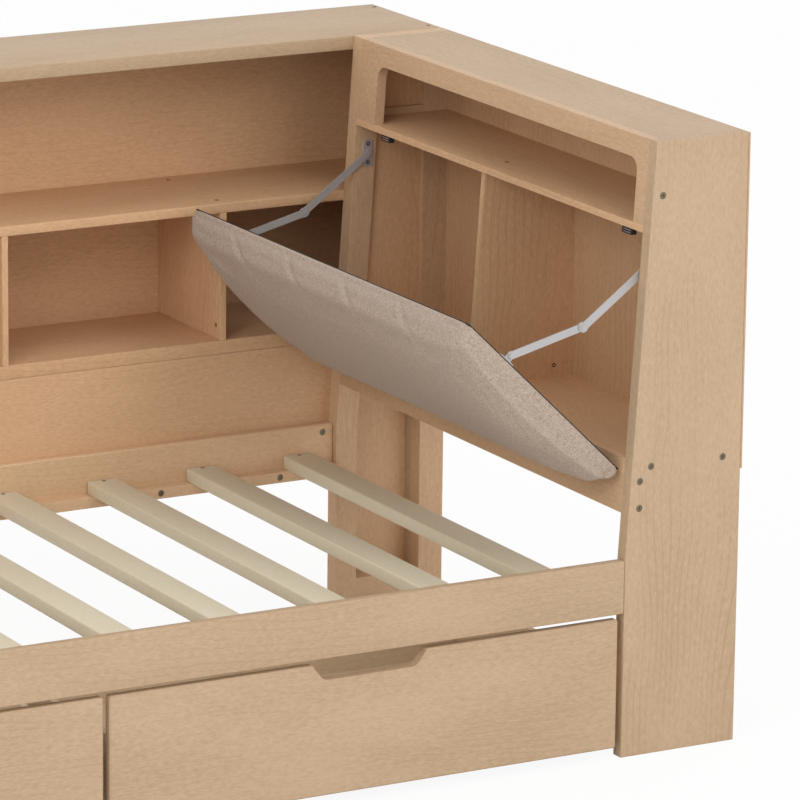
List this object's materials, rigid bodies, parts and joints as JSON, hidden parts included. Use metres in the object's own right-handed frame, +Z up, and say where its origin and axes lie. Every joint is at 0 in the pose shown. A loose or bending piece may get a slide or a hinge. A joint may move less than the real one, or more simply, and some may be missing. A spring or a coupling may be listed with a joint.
{
  "type": "corner daybed",
  "caption": "Corner daybed: back bookcase and headboard bookcase in an L, padded headboard flap on folding stays, slatted base and rolling under-bed drawers.",
  "frame": {"origin": "middle of the footprint, on the floor", "axes": "+X along the bed to the headboard, +Y from the open front to the back bookcase, +Z up"},
  "size_m": [2.167, 1.29, 1.048],
  "materials": {
    "tan_wood": "satin",
    "slat_wood": "matte",
    "fabric": "woven",
    "black_backing": "matte",
    "grey_metal": "satin",
    "bolt_metal": "satin",
    "black_plastic": "matte"
  },
  "bodies": {
    "frame": {"bolts": "bolt_metal", "case_back": "tan_wood", "case_bottom_shelf": "tan_wood", "case_corner_post": "tan_wood", "case_dividers": "tan_wood", "case_ends": "tan_wood", "case_leg_panel": "tan_wood", "case_lower_panel": "tan_wood", "case_middle_shelf": "tan_wood", "case_top": "tan_wood", "cleats": "tan_wood", "foot_panel": "tan_wood", "front_rail": "tan_wood", "head_apron": "tan_wood", "head_back": "tan_wood", "head_catches": "black_plastic", "head_divider": "tan_wood", "head_end_front": "tan_wood", "head_fascia": "tan_wood", "head_floor": "tan_wood", "head_frame_panel": "tan_wood", "head_frame_rails": "tan_wood", "head_shelf": "tan_wood", "head_stile_bed": "tan_wood", "head_stile_wall": "tan_wood", "head_top": "tan_wood", "hinge_leaves_fixed": "grey_metal", "rear_rail": "tan_wood", "slat_1": "slat_wood", "slat_10": "slat_wood", "slat_2": "slat_wood", "slat_3": "slat_wood", "slat_4": "slat_wood", "slat_5": "slat_wood", "slat_6": "slat_wood", "slat_7": "slat_wood", "slat_8": "slat_wood", "slat_9": "slat_wood", "stay_mounts": "grey_metal"},
    "flap": {"flap_backing": "black_backing", "flap_board": "tan_wood", "flap_cushion": "fabric", "flap_fittings": "grey_metal", "hinge_leaves_flap": "grey_metal"},
    "stay_upper": {"stay_upper_arms": "grey_metal"},
    "stay_lower": {"stay_lower_arms": "grey_metal"},
    "drawer_left_axle_front": {"drawer_left_wheels_front": "black_plastic"},
    "drawer_left_axle_rear": {"drawer_left_wheels_rear": "black_plastic"},
    "drawer_left": {"drawer_left_back": "tan_wood", "drawer_left_bottom": "tan_wood", "drawer_left_casters": "black_plastic", "drawer_left_front": "tan_wood", "drawer_left_sides": "tan_wood"},
    "drawer_right_axle_front": {"drawer_right_wheels_front": "black_plastic"},
    "drawer_right_axle_rear": {"drawer_right_wheels_rear": "black_plastic"},
    "drawer_right": {"drawer_right_back": "tan_wood", "drawer_right_bottom": "tan_wood", "drawer_right_casters": "black_plastic", "drawer_right_front": "tan_wood", "drawer_right_sides": "tan_wood"}
  },
  "joints": [
    {"name": "flap_tilt", "type": "hinge", "parent": "frame", "child": "flap", "pos_m": [0.8644, 0, 0.4902], "axis": [0, 1, 0], "range_deg": [0, 49.85]},
    {"name": "stay_upper_swing", "type": "hinge", "parent": "frame", "child": "stay_upper", "pos_m": [0.9165, 0, 0.83918], "axis": [0, 1, 0], "range_deg": [-84, 1]},
    {"name": "stay_lower_swing", "type": "hinge", "parent": "flap", "child": "stay_lower", "pos_m": [0.65249, 0, 0.71003], "axis": [0, 1, 0], "range_deg": [-1, 11]},
    {"name": "drawer_left_roll", "type": "slide", "parent": "frame", "child": "drawer_left", "axis": [0, -1, 0], "range_m": [0, 0.45]},
    {"name": "drawer_left_wheels_front_spin", "type": "hinge", "parent": "drawer_left", "child": "drawer_left_axle_front", "pos_m": [0, -0.572, 0.015], "axis": [1, 0, 0], "continuous": true},
    {"name": "drawer_left_wheels_rear_spin", "type": "hinge", "parent": "drawer_left", "child": "drawer_left_axle_rear", "pos_m": [0, -0.2, 0.015], "axis": [1, 0, 0], "continuous": true},
    {"name": "drawer_right_roll", "type": "slide", "parent": "frame", "child": "drawer_right", "axis": [0, -1, 0], "range_m": [0, 0.45]},
    {"name": "drawer_right_wheels_front_spin", "type": "hinge", "parent": "drawer_right", "child": "drawer_right_axle_front", "pos_m": [0, -0.572, 0.015], "axis": [1, 0, 0], "continuous": true},
    {"name": "drawer_right_wheels_rear_spin", "type": "hinge", "parent": "drawer_right", "child": "drawer_right_axle_rear", "pos_m": [0, -0.2, 0.015], "axis": [1, 0, 0], "continuous": true}
  ],
  "couplings": [
    {"joint": "stay_upper_swing", "follows": "flap_tilt", "ratio": -1.641},
    {"joint": "stay_lower_swing", "follows": "flap_tilt", "ratio": 0.187},
    {"joint": "drawer_left_wheels_front_spin", "follows": "drawer_left_roll", "rad_per_m": 66.667},
    {"joint": "drawer_left_wheels_rear_spin", "follows": "drawer_left_roll", "rad_per_m": 66.667},
    {"joint": "drawer_right_wheels_front_spin", "follows": "drawer_right_roll", "rad_per_m": 66.667},
    {"joint": "drawer_right_wheels_rear_spin", "follows": "drawer_right_roll", "rad_per_m": 66.667}
  ]
}
